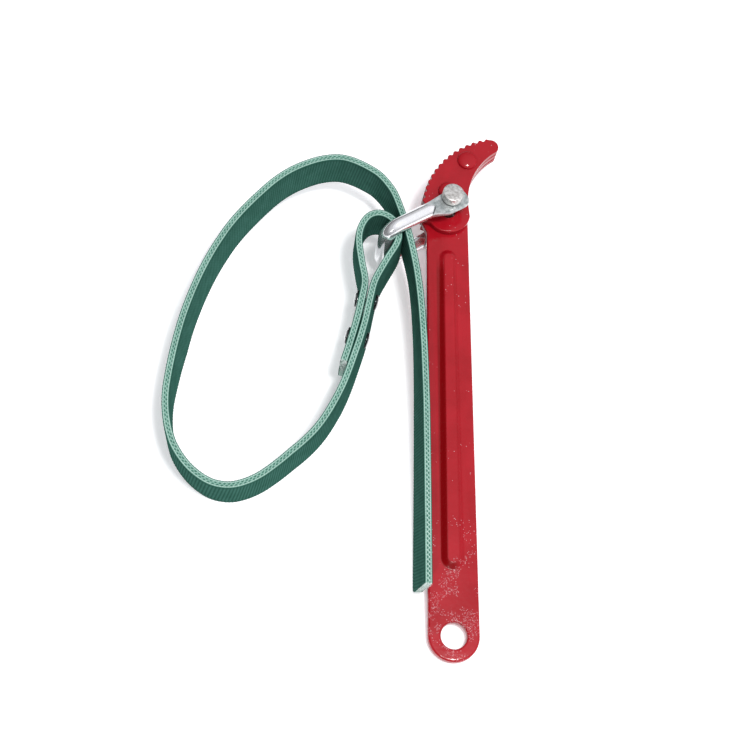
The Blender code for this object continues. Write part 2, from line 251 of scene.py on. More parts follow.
def arc(centre, radius, first, last, steps):
    """Points on an arc between two angles in degrees, ends included."""
    points = []
    for step in range(steps + 1):
        angle = math.radians(first + (last - first) * step / steps)
        points.append(centre + radius * Vector((math.cos(angle), math.sin(angle))))
    return points


def through(points, steps):
    """A smooth open curve through points, with the given number of steps between each pair."""
    route = [Vector(point) for point in points]
    route = [2 * route[0] - route[1], *route, 2 * route[-1] - route[-2]]
    curve = []
    for before, start, end, after in zip(route, route[1:], route[2:], route[3:]):
        chord = (end - start).length
        leaving = (end - before) * chord / (chord + (start - before).length)
        arriving = (after - start) * chord / (chord + (after - end).length)
        for step in range(steps):
            t = step / steps
            curve.append(
                (2 * t**3 - 3 * t**2 + 1) * start
                + (t**3 - 2 * t**2 + t) * leaving
                + (3 * t**2 - 2 * t**3) * end
                + (t**3 - t**2) * arriving
            )
    return [*curve, route[-2]]


def smooth_step(value):
    value = min(max(value, 0.0), 1.0)
    return value * value * (3 - 2 * value)


def new_piece(name, mesh, place, material):
    piece = bpy.data.objects.new(name, mesh)
    bpy.context.scene.collection.objects.link(piece)
    piece.matrix_world = place
    piece.data.materials.append(material)
    return piece


def shade(piece, sharp_angle):
    """Smooth shading except across edges sharper than an angle in degrees."""
    piece.data.shade_smooth()
    piece.data.set_sharp_from_angle(angle=math.radians(sharp_angle))


def keep_flats_flat(piece):
    """Smooth shading that leaves broad flat faces flat beside their rounded edges."""
    shade(piece, 35)
    weighted = piece.modifiers.new("flat_faces", "WEIGHTED_NORMAL")
    weighted.keep_sharp = True


def mesh_from(body, name):
    """The body as an outward mesh, with points that lie together made one."""
    bmesh.ops.remove_doubles(body, verts=body.verts, dist=WELD)
    return outward_mesh(body, name)


def plate_mesh(name, outlines, thickness, edge):
    """A plate with rounded edges from a closed outline and the outlines of its holes."""
    curve = bpy.data.curves.new(name, "CURVE")
    curve.dimensions = "2D"
    curve.fill_mode = "BOTH"
    curve.extrude = thickness / 2 - edge
    curve.bevel_depth = edge
    curve.bevel_resolution = 3
    curve.offset = -edge
    for points in outlines:
        spline = curve.splines.new("POLY")
        spline.points.add(len(points) - 1)
        for place, point in zip(spline.points, points):
            place.co = (point.x, point.y, 0, 1)
        spline.use_cyclic_u = True
    holder = bpy.data.objects.new(name, curve)
    bpy.context.scene.collection.objects.link(holder)
    bpy.context.view_layer.update()
    evaluated = holder.evaluated_get(bpy.context.evaluated_depsgraph_get())
    made = bpy.data.meshes.new_from_object(evaluated)
    bpy.data.objects.remove(holder)
    body = bmesh.new()
    body.from_mesh(made)
    bmesh.ops.remove_doubles(body, verts=body.verts, dist=PLATE_WELD)
    return mesh_from(body, name)


def add_skin(body, rings, closed_ends=True):
    """Adds a skin over rings of equally many points, with a flat face at each end if closed."""
    rows = [[body.verts.new(point) for point in ring] for ring in rings]
    count = len(rows[0])
    for row, following in zip(rows, rows[1:]):
        for index in range(count):
            beside = (index + 1) % count
            body.faces.new((row[index], row[beside], following[beside], following[index]))
    if closed_ends:
        body.faces.new(rows[0])
        body.faces.new(rows[-1])


def outward_mesh(body, name):
    """The body as a mesh whose faces point outwards. The body is freed."""
    bmesh.ops.recalc_face_normals(body, faces=body.faces)
    mesh = bpy.data.meshes.new(name)
    body.to_mesh(mesh)
    body.free()
    return mesh


def loft(name, rings, closed_ends=True):
    """A skin over rings of equally many points, with flat ends when closed_ends is true."""
    body = bmesh.new()
    add_skin(body, rings, closed_ends)
    return outward_mesh(body, name)


def turned_mesh(name, profile):
    """A closed turned body from (radius, height) points that start and end on the axis."""
    rings = []
    for radius, height in profile:
        ring = []
        for step in range(TURN_STEPS):
            angle = 2 * math.pi * step / TURN_STEPS
            ring.append((radius * math.cos(angle), radius * math.sin(angle), height))
        rings.append(ring)
    body = bmesh.new()
    body.from_mesh(loft(name, rings))
    return mesh_from(body, name)


def rounded(corner, radius, first, last, steps=4):
    """Profile points of a rounded corner about its centre, between two angles in degrees."""
    return [(point.x, point.y) for point in arc(Vector(corner), radius, first, last, steps)]


def upper_corner(radius, height, edge):
    """Profile points of a turned body's rounded upper corner, from its top face to its side."""
    return rounded((radius - edge, height - edge), edge, 90, 0)


def lower_corner(radius, height, edge):
    """Profile points of a turned body's rounded lower corner, from its side to its bottom face."""
    return rounded((radius - edge, height + edge), edge, 0, -90)


def apply_boolean(piece, other, operation):
    boolean = piece.modifiers.new("boolean", "BOOLEAN")
    boolean.object = other
    boolean.operation = operation
    boolean.solver = "EXACT"
    bpy.context.view_layer.update()
    evaluated = piece.evaluated_get(bpy.context.evaluated_depsgraph_get())
    mesh = bpy.data.meshes.new_from_object(evaluated)
    piece.modifiers.remove(boolean)
    piece.data = mesh
    bpy.data.objects.remove(other)


# ---------------------------------------------------------------- materials

class Shader:
    """One material's node tree, with short ways to add and link its nodes."""

    def __init__(self, name):
        self.material = bpy.data.materials.new(name)
        self.material.use_nodes = True
        self.tree = self.material.node_tree
        self.surface = self.tree.nodes["Principled BSDF"]

    def set(self, **values):
        for name, value in values.items():
            self.surface.inputs[name.replace("_", " ")].default_value = value

    def add(self, kind, inputs=(), **settings):
        node = self.tree.nodes.new(kind)
        for name, value in settings.items():
            setattr(node, name, value)
        for name, value in dict(inputs).items():
            if isinstance(value, bpy.types.NodeSocket):
                self.tree.links.new(value, node.inputs[name])
            else:
                node.inputs[name].default_value = value
        return node

    def feed(self, socket, name):
        self.tree.links.new(socket, self.surface.inputs[name])

    def place(self):
        return self.add("ShaderNodeTexCoord").outputs["Object"]

    def noise(self, scale, detail=2.0, roughness=0.5):
        inputs = {"Vector": self.place(), "Scale": scale, "Detail": detail, "Roughness": roughness}
        return self.add("ShaderNodeTexNoise", inputs).outputs["Fac"]

    def attribute(self, name):
        return self.add("ShaderNodeAttribute", attribute_name=name).outputs["Fac"]

    def span(self, value, low, high, to_low=0.0, to_high=1.0):
        """A value mapped from one range to another and held within it."""
        inputs = {"Value": value, "From Min": low, "From Max": high, "To Min": to_low, "To Max": to_high}
        return self.add("ShaderNodeMapRange", inputs, clamp=True).outputs["Result"]

    def mix(self, factor, first, second):
        node = self.add("ShaderNodeMix", data_type="RGBA")
        for socket, value in ((node.inputs[0], factor), (node.inputs[6], first), (node.inputs[7], second)):
            if isinstance(value, bpy.types.NodeSocket):
                self.tree.links.new(value, socket)
            else:
                socket.default_value = value if isinstance(value, float) else (*value, 1)
        return node.outputs[2]

    def maths(self, operation, first, second):
        node = self.add("ShaderNodeMath", operation=operation)
        for socket, value in zip(node.inputs, (first, second)):
            if isinstance(value, bpy.types.NodeSocket):
                self.tree.links.new(value, socket)
            else:
                socket.default_value = value
        return node.outputs[0]

    def bump(self, height, strength, distance, under=None):
        inputs = {"Height": height, "Strength": strength, "Distance": distance}
        if under:
            inputs["Normal"] = under
        return self.add("ShaderNodeBump", inputs).outputs["Normal"]


def rib_flank_shade_mask(shader, place):
    """1 along the rib's left flank and round its lower end, where darker red is painted as shade."""
    x = place.outputs["X"]
    y = place.outputs["Y"]
    below = shader.maths("MAXIMUM", shader.maths("SUBTRACT", RIB_TAIL.y, y), 0.0)
    squares = shader.maths("ADD", shader.maths("POWER", x, 2.0), shader.maths("POWER", below, 2.0))
    from_axis = shader.maths("SQRT", squares, 0.0)
    middle = RIB_TAIL_RADIUS - RIB_FLANK / 2
    off_middle = shader.maths("ABSOLUTE", shader.maths("SUBTRACT", from_axis, middle), 0.0)
    flank = shader.span(off_middle, RIB_FLANK * 0.68, RIB_FLANK * 0.42)
    left = shader.span(x, 0.0040, 0.0005)
    started = shader.span(y, RIB_TOP.y, RIB_TOP.y - 0.008)
    mask = shader.maths("MULTIPLY", shader.maths("MULTIPLY", flank, left), started)
    return shader.maths("MULTIPLY", mask, 0.9)


def red_paint():
    """Glossy red paint: orange-peel skin, raised grit dots mostly near the tail whose pale colour is
    painted glints, painted shade on the rib's flank.
    """
    shader = Shader("red_paint")
    tone = shader.noise(55, detail=3)
    red = shader.mix(shader.span(tone, 0.35, 0.65), (0.31, 0.0035, 0.009), (0.37, 0.005, 0.013))
    place = shader.add("ShaderNodeSeparateXYZ", {"Vector": shader.place()})
    painted_flank_shade = rib_flank_shade_mask(shader, place)
    # Painted shade: darker red along the rib's left flank and round its lower end.
    red = shader.mix(painted_flank_shade, red, (0.20, 0.0012, 0.0025))
    near_tail = shader.span(place.outputs["Y"], -0.175, -0.215)
    patch = shader.span(shader.noise(75, detail=3), 0.50, 0.60)
    amount = shader.maths("MULTIPLY", patch, shader.maths("ADD", near_tail, 0.03))
    amount = shader.maths("SUBTRACT", amount, painted_flank_shade)
    cell = shader.add("ShaderNodeTexVoronoi", {"Vector": shader.place(), "Scale": 1600.0})
    pick = shader.add("ShaderNodeSeparateColor", {"Color": cell.outputs["Color"]}).outputs["Red"]
    chosen = shader.maths("LESS_THAN", pick, shader.maths("MULTIPLY", amount, 0.8))
    dot = shader.maths("MULTIPLY", shader.span(cell.outputs["Distance"], 0.50, 0.15), chosen)
    painted_glint = shader.maths("MULTIPLY", dot, shader.span(pick, 0.0, 0.8, 0.75, 0.2))
    # Painted glints: the grit dots' pale base colour stands in for sparkles of light.
    shader.feed(shader.mix(painted_glint, red, (0.88, 0.52, 0.56)), "Base Color")
    shader.feed(shader.span(tone, 0.3, 0.7, 0.24, 0.34), "Roughness")
    shader.set(Specular_IOR_Level=0.08, Coat_Weight=0.42, Coat_Roughness=0.07)
    peel = shader.bump(shader.noise(420, detail=2), 0.16, 0.0004)
    normal = shader.bump(dot, 0.5, 0.0003, under=peel)
    shader.feed(normal, "Normal")
    shader.feed(normal, "Coat Normal")
    return shader.material


def zinc_plate():
    """Bright plated rod, rougher and greyer where forged is 1, with painted shade, near black, in the
    notch between rod and ear.
    """
    shader = Shader("zinc_plate")
    forged = shader.attribute("forged")
    crease_shade = shader.attribute("crease_shade")
    blotch = shader.span(shader.noise(420, detail=4, roughness=0.65), 0.35, 0.68)
    rod = shader.mix(blotch, (0.88, 0.88, 0.90), (0.93, 0.93, 0.94))
    ear = shader.mix(blotch, (0.30, 0.34, 0.34), (0.66, 0.69, 0.69))
    plain = shader.mix(forged, rod, ear)
    # Painted shade: near black in the notch between the rod and the flat ear.
    shader.feed(shader.mix(crease_shade, plain, (0.03, 0.035, 0.04)), "Base Color")
    shader.set(Metallic=0.85)
    smooth = shader.span(blotch, 0.0, 1.0, 0.12, 0.17)
    rough = shader.span(blotch, 0.0, 1.0, 0.48, 0.34)
    more = shader.maths("MULTIPLY", shader.maths("SUBTRACT", rough, smooth), forged)
    shader.feed(shader.maths("ADD", smooth, more), "Roughness")
    pits = shader.bump(shader.noise(1500, detail=3), 0.06, 0.0001)
    dents = shader.maths("MULTIPLY", shader.noise(500, detail=2), forged)
    shader.feed(shader.bump(dents, 0.6, 0.0003, under=pits), "Normal")
    return shader.material


def pin_zinc():
    shader = Shader("pin_zinc")
    blotch = shader.span(shader.noise(600, detail=5, roughness=0.7), 0.35, 0.68)
    shader.feed(shader.mix(blotch, (0.40, 0.38, 0.36), (0.88, 0.87, 0.85)), "Base Color")
    shader.set(Metallic=1.0)
    shader.feed(shader.span(blotch, 0.0, 1.0, 0.52, 0.36), "Roughness")
    shader.feed(shader.bump(shader.noise(900, detail=4), 0.5, 0.0002), "Normal")
    return shader.material


def dark_steel():
    shader = Shader("dark_steel")
    blotch = shader.noise(700, detail=4, roughness=0.6)
    shader.feed(shader.mix(blotch, (0.02, 0.025, 0.025), (0.08, 0.09, 0.09)), "Base Color")
    shader.set(Metallic=1.0)
    shader.feed(shader.span(blotch, 0.3, 0.7, 0.45, 0.28), "Roughness")
    shader.feed(shader.bump(blotch, 0.3, 0.0001), "Normal")
    return shader.material


def cap_steel():
    shader = Shader("cap_steel")
    blotch = shader.noise(800, detail=4, roughness=0.6)
    face = shader.mix(blotch, (0.52, 0.54, 0.54), (0.80, 0.81, 0.81))
    across = {0: shader.place(), 1: (1.0, 1.0, 0.0)}
    flat = shader.add("ShaderNodeVectorMath", across, operation="MULTIPLY").outputs[0]
    radius = shader.add("ShaderNodeVectorMath", {0: flat}, operation="LENGTH").outputs["Value"]
    # Painted shade: the cap's rim is coloured near black.
    rim = shader.span(radius, RIVET_CAP_RADIUS * 0.82, RIVET_CAP_RADIUS * 0.92)
    shader.feed(shader.mix(rim, face, (0.025, 0.03, 0.03)), "Base Color")
    shader.set(Metallic=1.0)
    shader.feed(shader.span(blotch, 0.3, 0.7, 0.34, 0.18), "Roughness")
    shader.feed(shader.bump(blotch, 0.25, 0.0001), "Normal")
    return shader.material


def belt_rubber():
    """Dark green ribbed facing: the attribute rib is 1 on a rib's crest and 0 in a groove, whose darker
    green is painted shade.
    """
    shader = Shader("belt_rubber")
    rib = shader.attribute("rib")
    tone = shader.span(shader.noise(160, detail=4), 0.3, 0.7)
    # Painted shade: darker green in the grooves.
    groove = shader.mix(tone, (0.017, 0.063, 0.046), (0.024, 0.080, 0.061))
    crest = shader.mix(tone, (0.042, 0.130, 0.100), (0.056, 0.158, 0.126))
    shader.feed(shader.mix(rib, groove, crest), "Base Color")
    shader.feed(shader.span(tone, 0.0, 1.0, 0.62, 0.74), "Roughness")
    shader.set(Specular_IOR_Level=0.0)
    shader.feed(shader.bump(shader.noise(2600, detail=2), 0.35, 0.0001), "Normal")
    return shader.material


def belt_fabric():
    """Mint green layers seen at the belt's edges: the attribute yarn is 0 in the stitch holes, painted
    dark as shade.
    """
    shader = Shader("belt_fabric")
    yarn = shader.attribute("yarn")
    fibre = shader.span(shader.noise(2400, detail=3), 0.3, 0.7)
    tone = shader.span(shader.noise(120, detail=2), 0.35, 0.65)
    plain = shader.mix(tone, (0.12, 0.28, 0.22), (0.16, 0.34, 0.27))
    thread = shader.mix(fibre, (0.42, 0.58, 0.52), (0.70, 0.79, 0.75))
    # Painted shade: dark green in the stitch holes.
    dark = shader.mix(shader.span(yarn, 0.0, 0.5), (0.025, 0.085, 0.065), plain)
    shader.feed(shader.mix(shader.span(yarn, 0.55, 0.95), dark, thread), "Base Color")
    shader.set(Roughness=0.8, Specular_IOR_Level=0.0)
    shader.feed(shader.bump(fibre, 0.5, 0.00015), "Normal")
    return shader.material


def frayed_thread():
    shader = Shader("frayed_thread")
    tone = shader.noise(900, detail=2)
    shader.feed(shader.mix(tone, (0.62, 0.74, 0.70), (0.92, 0.94, 0.93)), "Base Color")
    shader.set(Roughness=0.85, Sheen_Weight=0.3)
    return shader.material


def floor_white():
    shader = Shader("floor_white")
    tone = shader.noise(6, detail=2)
    shader.feed(shader.mix(tone, (0.93, 0.93, 0.935), (0.95, 0.95, 0.955)), "Base Color")
    shader.set(Roughness=0.9, Specular_IOR_Level=0.1, Emission_Strength=0.28)
    shader.surface.inputs["Emission Color"].default_value = (0.98, 0.97, 1.0, 1)
    return shader.material


# ---------------------------------------------------------------- handle and jaw

def toothed_edge(steps_per_tooth=12):
    """The gripping edge from the tip down to the boss, with rounded teeth and narrower gullets."""
    steps = TOOTH_COUNT * steps_per_tooth
    points = []
    for step in range(steps + 1):
        angle = math.radians(TOOTH_FIRST + (TOOTH_LAST - TOOTH_FIRST) * step / steps)
        wave = 0.5 - 0.5 * math.cos(2 * math.pi * step / steps_per_tooth)
        radius = TOOTH_RADIUS - TOOTH_DEPTH * wave**1.4
        points.append(TOOTH_CENTRE + radius * Vector((math.cos(angle), math.sin(angle))))
    return points


def jaw_edges():
    concave = arc(CONCAVE_CENTRE, CONCAVE_RADIUS, 186, 126, 40)
    tip = arc(TIP_CENTRE, TIP_RADIUS, -38, 100, 20)
    return [*concave, *tip, *toothed_edge()]


def hole(centre, radius):
    return list(reversed(arc(centre, radius, 0, 355, 71)))


def rib_mesh(name, shrink, height):
    """A long raised mound with sloping flanks, wider towards the tail."""
    rings = []
    levels = [(0.0, RIB_ROOT)]
    for step in range(13):
        share = step / 12
        levels.append((RIB_FLANK * share, height * (0.5 * share + 0.5 * smooth_step(share))))
    for inset, z in levels:
        inset += shrink
        outline = [
            *arc(RIB_TOP, RIB_TOP_RADIUS - inset, 0, 180, 24),
            *arc(RIB_TAIL, RIB_TAIL_RADIUS - inset, 180, 360, 24),
        ]
        rings.append([(point.x, point.y, z) for point in outline])
    return loft(name, rings)


def make_handle(place, paint):
    heel = Vector((-HANDLE_HALF_WIDTH, HANDLE_TOP_Y))
    tail = arc(Vector((0, TAIL_Y)), TAIL_RADIUS, 180, 360, 60)
    outline = [heel, *tail, *jaw_edges()]
    holes = [hole(Vector((0, TAIL_Y)), HANGING_HOLE_RADIUS), hole(Vector((0, 0)), JAW_BORE_RADIUS)]
    mesh = plate_mesh("handle", [outline, *holes], HANDLE_THICKNESS, HANDLE_EDGE)
    handle = new_piece("handle", mesh, place, paint)
    lift = Matrix.Translation((0, 0, HANDLE_THICKNESS / 2))
    rib = new_piece("rib", rib_mesh("rib", 0, RIB_HEIGHT), place @ lift, paint)
    apply_boolean(handle, rib, "UNION")
    sink = Matrix.Translation((0, 0, -HANDLE_THICKNESS / 2))
    groove = new_piece("groove", rib_mesh("groove", GROOVE_INSET, GROOVE_DEPTH), place @ sink, paint)
    apply_boolean(handle, groove, "DIFFERENCE")
    keep_flats_flat(handle)
    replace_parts(handle, "handle_bar")
    return handle


def make_cheek(name, z, place, paint):
    boss = arc(BOSS_CENTRE, BOSS_RADIUS, 215, 352, 50)
    outlines = [[*boss, *jaw_edges()], hole(Vector((0, 0)), JAW_BORE_RADIUS)]
    mesh = plate_mesh(name, outlines, CHEEK_THICKNESS, CHEEK_EDGE)
    cheek = new_piece(name, mesh, place @ Matrix.Translation((0, 0, z)), paint)
    keep_flats_flat(cheek)
    return cheek


def domed_head(radius, height, rim, steps=12):
    """Profile of a low dome from its crown to its rim, about height 0 at its seat."""
    points = []
    for step in range(steps + 1):
        angle = math.pi / 2 * step / steps
        points.append((radius * math.sin(angle) ** 0.9, rim + (height - rim) * math.cos(angle) ** 1.15))
    return [(0.0, height), *points[1:], (radius, rim * 0.3), (radius - rim * 0.3, 0.0)]


def make_jaw_rivet(name, centre, place, paint):
    head = domed_head(JAW_RIVET_RADIUS, JAW_RIVET_HEIGHT, JAW_RIVET_RIM)
    top = [(radius, JAW_FACE + z) for radius, z in head]
    bottom = [(radius, -z) for radius, z in reversed(top)]
    mesh = turned_mesh(name, [*top, *bottom])
    rivet = new_piece(name, mesh, place @ Matrix.Translation((*centre, 0)), paint)
    keep_flats_flat(rivet)
    return rivet


# ---------------------------------------------------------------- shackle and pin

def leg_profile(x):
    """Upper and lower edge of a leg and its forged share, at distance x from the pin."""
    share = smooth_step((ROD_START - x) / FORGED_LENGTH)
    along = max(0.0, (EAR_NOSE - x) / (EAR_NOSE - EAR_END))
    nose = max(0.0, 1 - along**7) ** 0.5
    upper_widening = smooth_step((UPPER_START - x) / WIDENING_LENGTH)
    lower_widening = smooth_step((LOWER_START - x) / WIDENING_LENGTH)
    upper = ROD_RADIUS + (EAR_UPPER - ROD_RADIUS) * upper_widening
    lower = -ROD_RADIUS - (EAR_LOWER - ROD_RADIUS) * lower_widening
    middle = EAR_RISE * smooth_step((EAR_RISE_START - x) / EAR_RISE_LENGTH)
    return middle + (upper - middle) * nose, middle + (lower - middle) * nose, share


def leg_step(x, y):
    """0 on the flat ear and 1 on the round rod, with a notch between that points at the pin."""
    return smooth_step((x - STEP_TIP - STEP_SLANT * abs(y - STEP_MIDDLE)) / STEP_LENGTH)


def shackle_stations():
    """(centre, tangent, profile) along the bent rod from the front ear's nose to the back's."""
    inner = SHACKLE_REACH - BEND_RADIUS
    stations = []
    ear = np.arange(EAR_END + EAR_STATION / 10, ROD_START, EAR_STATION)
    rod = np.arange(ROD_START, inner, ROD_STATION)
    for x in [*ear, *rod]:
        stations.append((Vector((x, LEG_Z)), Vector((1, 0)), (x, *leg_profile(x))))
    for step in range(BEND_STEPS + 1):
        angle = math.pi / 2 * (1 - step / BEND_STEPS)
        out = Vector((math.cos(angle), math.sin(angle)))
        centre = Vector((inner, LEG_Z - BEND_RADIUS)) + BEND_RADIUS * out
        round_rod = (inner, ROD_RADIUS, -ROD_RADIUS, 0.0)
        stations.append((centre, Vector((out.y, -out.x)), round_rod))
    mirrored = []
    for centre, tangent, profile in reversed(stations):
        mirrored.append((Vector((centre.x, -centre.y)), Vector((-tangent.x, tangent.y)), profile))
    return [*stations, *mirrored]


def make_shackle(place, zinc):
    rings = []
    forged = []
    crease_shades = []
    for centre, tangent, (x, upper, lower, share) in shackle_stations():
        across = Vector((-tangent.y, tangent.x))
        ring = []
        for side in range(SHACKLE_SIDES):
            angle = 2 * math.pi * side / SHACKLE_SIDES
            y = (upper + lower) / 2 + (upper - lower) / 2 * math.cos(angle)
            step = leg_step(x, y)
            half = EAR_HALF_THICKNESS + (ROD_RADIUS * STEP_SWELL - EAR_HALF_THICKNESS) * step
            rise = max(-half, min(half, ROD_RADIUS * math.sin(angle)))
            point = centre + across * rise
            ring.append((point.x, y, point.y))
            forged.append(share * (1 - step))
            # Painted shade, darkest halfway up the notch's step.
            crease_shades.append(math.sqrt(4 * step * (1 - step)) * smooth_step(abs(math.sin(angle)) * 2))
        rings.append(ring)
    mesh = loft("shackle", rings)
    for name, values in (("forged", forged), ("crease_shade", crease_shades)):
        mesh.attributes.new(name, "FLOAT", "POINT").data.foreach_set("value", values)
    piece = new_piece("shackle_rod", mesh, place, zinc)
    shade(piece, 40)
    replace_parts(piece, "shackle")
    return piece


def make_pin(place, zinc):
    seat, top = PIN_HEAD
    end, shoulder = PIN_TAIL
    head = [(0.0, top + PIN_CROWN), (PIN_HEAD_RADIUS * 0.6, top + PIN_CROWN_EDGE)]
    head += upper_corner(PIN_HEAD_RADIUS, top, PIN_TOP_ROUND)
    head += lower_corner(PIN_HEAD_RADIUS, seat, PIN_SEAT_ROUND)
    tail = upper_corner(PIN_TAIL_RADIUS, shoulder, PIN_SHOULDER_ROUND)
    tail += lower_corner(PIN_TAIL_RADIUS, end, PIN_END_ROUND)
    profile = [*head, (PIN_RADIUS, seat), (PIN_RADIUS, shoulder), *tail, (0.0, end)]
    pin = new_piece("pin", turned_mesh("pin", profile), place, zinc)
    keep_flats_flat(pin)
    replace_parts(pin, "pivot_pin")
    return pin


def make_washer(place, zinc):
    low, high = WASHER_FACES
    hollow = PIN_RADIUS + WASHER_PLAY
    profile = [(hollow, low), (hollow, high)]
    profile += upper_corner(WASHER_RADIUS, high, WASHER_ROUND)
    profile += lower_corner(WASHER_RADIUS, low, WASHER_ROUND)
    rings = []
    for radius, height in [*profile, profile[0]]:
        angles = [2 * math.pi * step / TURN_STEPS for step in range(TURN_STEPS)]
        rings.append([(radius * math.cos(a), radius * math.sin(a), height) for a in angles])
    body = bmesh.new()
    body.from_mesh(loft("washer", rings, closed_ends=False))
    washer = new_piece("washer", mesh_from(body, "washer"), place, zinc)
    keep_flats_flat(washer)
    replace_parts(washer, "pivot_washer")
    return washer


# ---------------------------------------------------------------- belt

def belt_stations():
    """Evenly spaced places, normals and distances along the belt's smoothed centre line."""
    dense = np.array([tuple(point) for point in through(BELT_ROUTE, 16)])
    along = np.concatenate([[0], np.cumsum(np.linalg.norm(np.diff(dense, axis=0), axis=1))])
    count = int(along[-1] / STATION_STEP)
    distance = np.linspace(0, along[-1], count)
    centre = np.stack([np.interp(distance, along, dense[:, axis]) for axis in (0, 1)], axis=1)
    reach = int(SMOOTHING / STATION_STEP / 2)
    window = np.hanning(2 * reach + 3)[1:-1]
    window /= window.sum()
    first = centre[0] + (centre[0] - centre[1:reach + 1][::-1])
    last = centre[-1] + (centre[-1] - centre[-reach - 1:-1][::-1])
    padded = np.concatenate([first, centre, last])
    smooth = np.stack([np.convolve(padded[:, axis], window, "valid") for axis in (0, 1)], axis=1)
    tangent = np.gradient(smooth, axis=0)
    tangent /= np.linalg.norm(tangent, axis=1)[:, None]
    normal = np.stack([-tangent[:, 1], tangent[:, 0]], axis=1)
    return smooth, normal, distance


def belt_points(stations, offset, height):
    """Points at offsets across the belt's thickness and heights across its width."""
    centre, normal, distance = stations
    share = distance / distance[-1]
    places, tops, bottoms = zip(*BELT_LEAN)
    top = np.interp(share, places, tops)[:, None]
    bottom = np.interp(share, places, bottoms)[:, None]
    shift = offset + (top + bottom) / 2 + (top - bottom) * height / BELT_WIDTH
    points = np.empty((*offset.shape, 3))
    points[..., :2] = centre[:, None, :] + normal[:, None, :] * shift[..., None]
    points[..., 2] = height
    return points


def strip_piece(name, points, values, attribute, place, material):
    """A closed strip from a grid of section points, with one value for each point."""
    rows, columns = points.shape[:2]
    mesh = bpy.data.meshes.new(name)
    first = np.arange((rows - 1) * columns).reshape(rows - 1, columns)
    beside = np.roll(first, -1, axis=1)
    quads = np.stack([first, beside, beside + columns, first + columns], axis=-1).reshape(-1, 4)
    ends = [list(range(columns))[::-1], list(range((rows - 1) * columns, rows * columns))]
    mesh.from_pydata(points.reshape(-1, 3).tolist(), [], [*quads.tolist(), *ends])
    layer = mesh.attributes.new(attribute, "FLOAT", "POINT")
    layer.data.foreach_set("value", values.reshape(-1).astype(np.float32))
    body = bmesh.new()
    body.from_mesh(mesh)
    bmesh.ops.recalc_face_normals(body, faces=body.faces)
    body.to_mesh(mesh)
    body.free()
    piece = new_piece(name, mesh, place, material)
    shade(piece, 50)
    return piece


def end_rounding(distance):
    """How far the lower edge rises to round off the free end's corner."""
    left = np.clip(1 - distance / END_ROUND, 0, 1)
    return END_ROUND * (1 - np.sqrt(1 - left**2))


def stitches(distance, across):
    """How deep the belt's edge is at each point: 1 in a stitch hole, 0 on the yarn."""
    depth = np.zeros_like(across * distance)
    for row, phase in ((-1, 0.0), (1, 0.5)):
        step = distance / STITCH_PITCH + phase
        from_hole = (step - np.round(step)) * STITCH_PITCH
        slanted = across - row * STITCH_ROW - STITCH_SLANT * from_hole
        wide = np.exp(-((slanted / STITCH_HALF_WIDTH) ** 2))
        long = np.exp(-((from_hole / STITCH_HALF_LENGTH) ** 4))
        depth = np.maximum(depth, wide * long)
    return depth


def yarn_tone(distance, across, depth):
    """0 in a stitch hole, 0.5 on plain fabric and 1 on the two rails and the zigzag thread."""
    half = BELT_HALF_THICKNESS - SKIN_THICKNESS
    rail = np.exp(-(((np.abs(across) - half + RAIL_INSET) / RAIL_HALF_WIDTH) ** 2))
    rail = rail * (0.75 + 0.25 * np.cos(2 * math.pi * distance / RAIL_TWIST))
    zigzag = -STITCH_ROW * 0.95 * np.cos(2 * math.pi * distance / STITCH_PITCH)
    thread = np.exp(-(((across + zigzag) / STITCH_HALF_WIDTH) ** 2))
    bold = np.interp(distance, (0.03, 0.10), (1.0, 0.55))
    light = np.maximum(rail, bold * thread)
    # Low values in the stitch holes give painted shade.
    return (0.5 + 0.5 * light) * (1 - 0.85 * depth)


def make_belt_core(stations, place, fabric):
    """The belt's woven layers, which show along both edges and at the cut ends."""
    distance = stations[2][:, None]
    half = BELT_HALF_THICKNESS - SKIN_THICKNESS + CORE_OVERLAP
    across = np.linspace(-half, half, CORE_COLUMNS)[None, :]
    top = BELT_WIDTH / 2 - CORE_INSET
    ripple = WEAVE_RELIEF * np.cos(2 * math.pi * (distance / WEAVE_PITCH + across / WEAVE_SLANT))
    depth = stitches(distance, across)
    tone = yarn_tone(distance, across, depth)
    raised = ripple + YARN_RELIEF * (tone - 0.5) - STITCH_RELIEF * depth
    upper = top + raised
    lower = -top - raised[:, ::-1] + end_rounding(distance)
    whole = np.broadcast_to(across, depth.shape)
    offset = np.concatenate([whole, whole[:, ::-1]], axis=1)
    height = np.concatenate([upper, lower], axis=1)
    values = np.concatenate([tone, tone[:, ::-1]], axis=1)
    values[[0, -1]] = 0.8
    points = belt_points(stations, offset, height)
    return strip_piece("belt_core", points, values, "yarn", place, fabric)


def make_belt_facing(name, side, stations, place, rubber):
    """One ribbed rubber facing: side is 1 on the loop's inside and -1 on its outside."""
    distance = stations[2][:, None]
    inner = BELT_HALF_THICKNESS - SKIN_THICKNESS
    outer = BELT_HALF_THICKNESS
    half = BELT_WIDTH / 2 - FACING_INSET
    across = np.linspace(-half, half, FACING_COLUMNS)[None, :]
    wave = 0.5 + 0.5 * np.cos(2 * math.pi * (distance + RIB_SLANT * across * side) / RIB_PITCH)
    crest = wave**0.7
    edge = np.ones((1, across.shape[1]))
    edge[0, (0, -1)] = 0
    face = outer - RIB_RELIEF * (1 - crest) - FACING_EDGE * (1 - edge)
    rows = distance.shape[0]
    inner_face = np.full((rows, 2), inner)
    offset = side * np.concatenate([face, inner_face], axis=1)
    ends = np.broadcast_to(np.array([[half, -half]]), (rows, 2))
    height = np.concatenate([np.broadcast_to(across, face.shape), ends], axis=1)
    height = np.maximum(height, end_rounding(distance) - half)
    # Painted shade: groove colour in the grooves, along the facing's edges and on its inner sides.
    values = np.concatenate([crest * (0.35 + 0.65 * edge), np.zeros((rows, 2))], axis=1)
    points = belt_points(stations, offset, height)
    return strip_piece(name, points, values, "rib", place, rubber)


